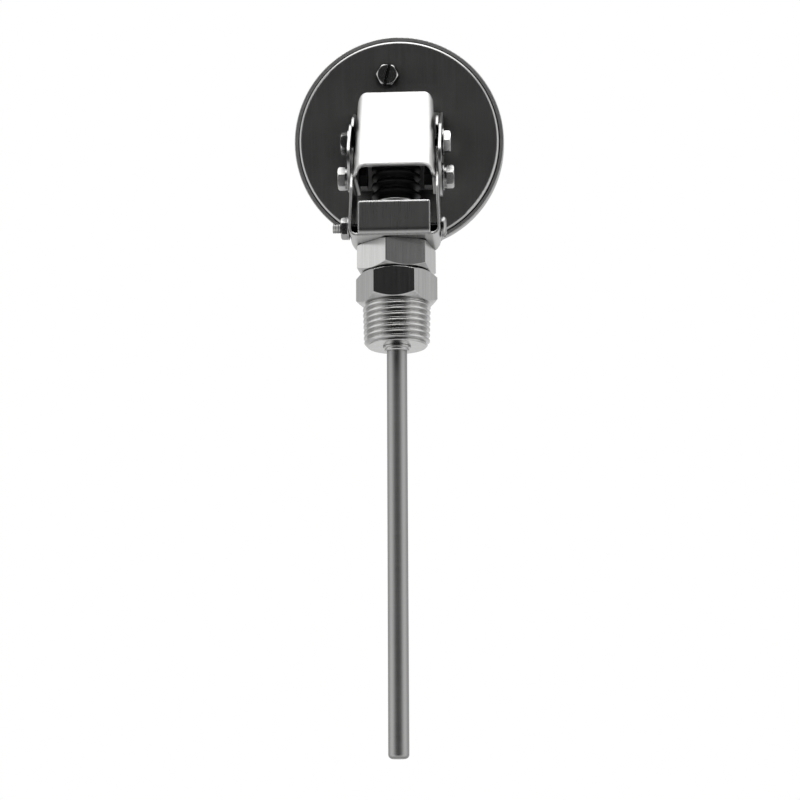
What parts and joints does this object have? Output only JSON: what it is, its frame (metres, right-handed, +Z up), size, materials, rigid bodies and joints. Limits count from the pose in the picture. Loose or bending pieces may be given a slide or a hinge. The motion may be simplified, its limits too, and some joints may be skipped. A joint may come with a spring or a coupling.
{
  "type": "dial thermometer",
  "caption": "Adjustable-angle bimetal dial thermometer: round stainless case that tilts on a hooded bellows joint above a hexagonal pipe-thread fitting and a slim probe stem.",
  "frame": {"origin": "on the stem axis, in the underside of the process hexagon, where the pipe thread begins", "axes": "+Z up the stem towards the head, +Y the way the dial faces, +X across the tilt pivot"},
  "size_m": [0.0687, 0.0567, 0.238],
  "materials": {
    "machined_steel": "machined stainless steel",
    "stem_steel": "drawn stainless tube",
    "brushed_sheet": "brushed stainless sheet",
    "polished_sheet": "bright stainless sheet",
    "brushed_case": "fine brushed stainless",
    "ring_steel": "satin stainless ring",
    "fastener_steel": "bright stainless fasteners",
    "dark_steel": "blackened nuts",
    "spring_steel": "drawn wire",
    "bearing_brass": "turned brass",
    "black_rubber": "moulded black rubber",
    "gasket_rubber": "black rubber",
    "window_glass": "clear instrument glass",
    "dial_white": "white enamel, black scale",
    "pointer_black": "matt black enamel"
  },
  "bodies": {
    "fitting": {"process_fitting": "machined_steel", "pipe_thread": "machined_steel"},
    "stem_unit": {"stem_tube": "stem_steel", "stem_tip_plug": "stem_steel", "stem_collar": "machined_steel", "neck_hex": "machined_steel", "yoke_bracket": "brushed_sheet", "hood_cover": "polished_sheet", "pivot_screws": "fastener_steel", "pivot_washers": "fastener_steel", "lock_screws": "fastener_steel", "lock_washers": "fastener_steel", "lock_spring_washers": "fastener_steel", "inner_nuts": "dark_steel", "tie_bolt": "fastener_steel", "tie_nut": "fastener_steel", "tie_washer": "fastener_steel", "neck_collar": "machined_steel", "lower_bellows_clamp": "machined_steel", "bellows": "black_rubber", "flex_drive_coil": "spring_steel", "coil_anchor": "spring_steel", "bimetal_coil": "spring_steel", "lower_spindle_bush": "bearing_brass", "upper_spindle_bush": "bearing_brass"},
    "spindle": {"spindle_rod": "spring_steel", "coil_hub": "bearing_brass"},
    "head": {"case_cup": "brushed_case", "bezel_ring": "ring_steel", "window_gasket": "gasket_rubber", "window": "window_glass", "head_bracket": "brushed_sheet", "case_neck": "machined_steel", "upper_bellows_clamp": "machined_steel", "pointer_bearing": "bearing_brass", "calibration_bush": "bearing_brass"},
    "dial_unit": {"dial_plate": "dial_white", "dial_gear": "bearing_brass", "dial_screws": "fastener_steel"},
    "pointer_unit": {"pointer_shaft": "spring_steel", "pointer_hub": "pointer_black", "pointer": "pointer_black"},
    "calibration_unit": {"calibration_screw": "fastener_steel", "calibration_pinion": "bearing_brass"}
  },
  "joints": [
    {"name": "stem_swivel", "type": "hinge", "parent": "fitting", "child": "stem_unit", "pos_m": [0, 0, 0], "axis": [0, 0, 1], "continuous": true},
    {"name": "head_tilt", "type": "hinge", "parent": "stem_unit", "child": "head", "pos_m": [0, 0, 0.05355], "axis": [1, 0, 0], "range_deg": [-15, 45], "deforming": ["bellows", "flex_drive_coil"]},
    {"name": "spindle_turn", "type": "hinge", "parent": "stem_unit", "child": "spindle", "pos_m": [0, 0, 0], "axis": [0, 0, -1], "range_deg": [-75.6, 194.4], "stiffness_Nm_per_rad": 0.0008, "deforming": ["bimetal_coil"]},
    {"name": "pointer_turn", "type": "hinge", "parent": "head", "child": "pointer_unit", "pos_m": [0, 0.02474, 0.06204], "axis": [0, -0.9659, -0.2588], "range_deg": [-75.6, 194.4]},
    {"name": "dial_turn", "type": "hinge", "parent": "head", "child": "dial_unit", "pos_m": [0, 0.02474, 0.06204], "axis": [0, -0.9659, -0.2588], "range_deg": [-10, 10]},
    {"name": "calibration_turn", "type": "hinge", "parent": "head", "child": "calibration_unit", "pos_m": [-0.0033, 0.01176, 0.08113], "axis": [0, -0.9659, -0.2588], "range_deg": [-80, 80]}
  ],
  "couplings": [
    {"joint": "pointer_turn", "follows": "spindle_turn", "ratio": 1},
    {"joint": "calibration_turn", "follows": "dial_turn", "ratio": -8}
  ]
}
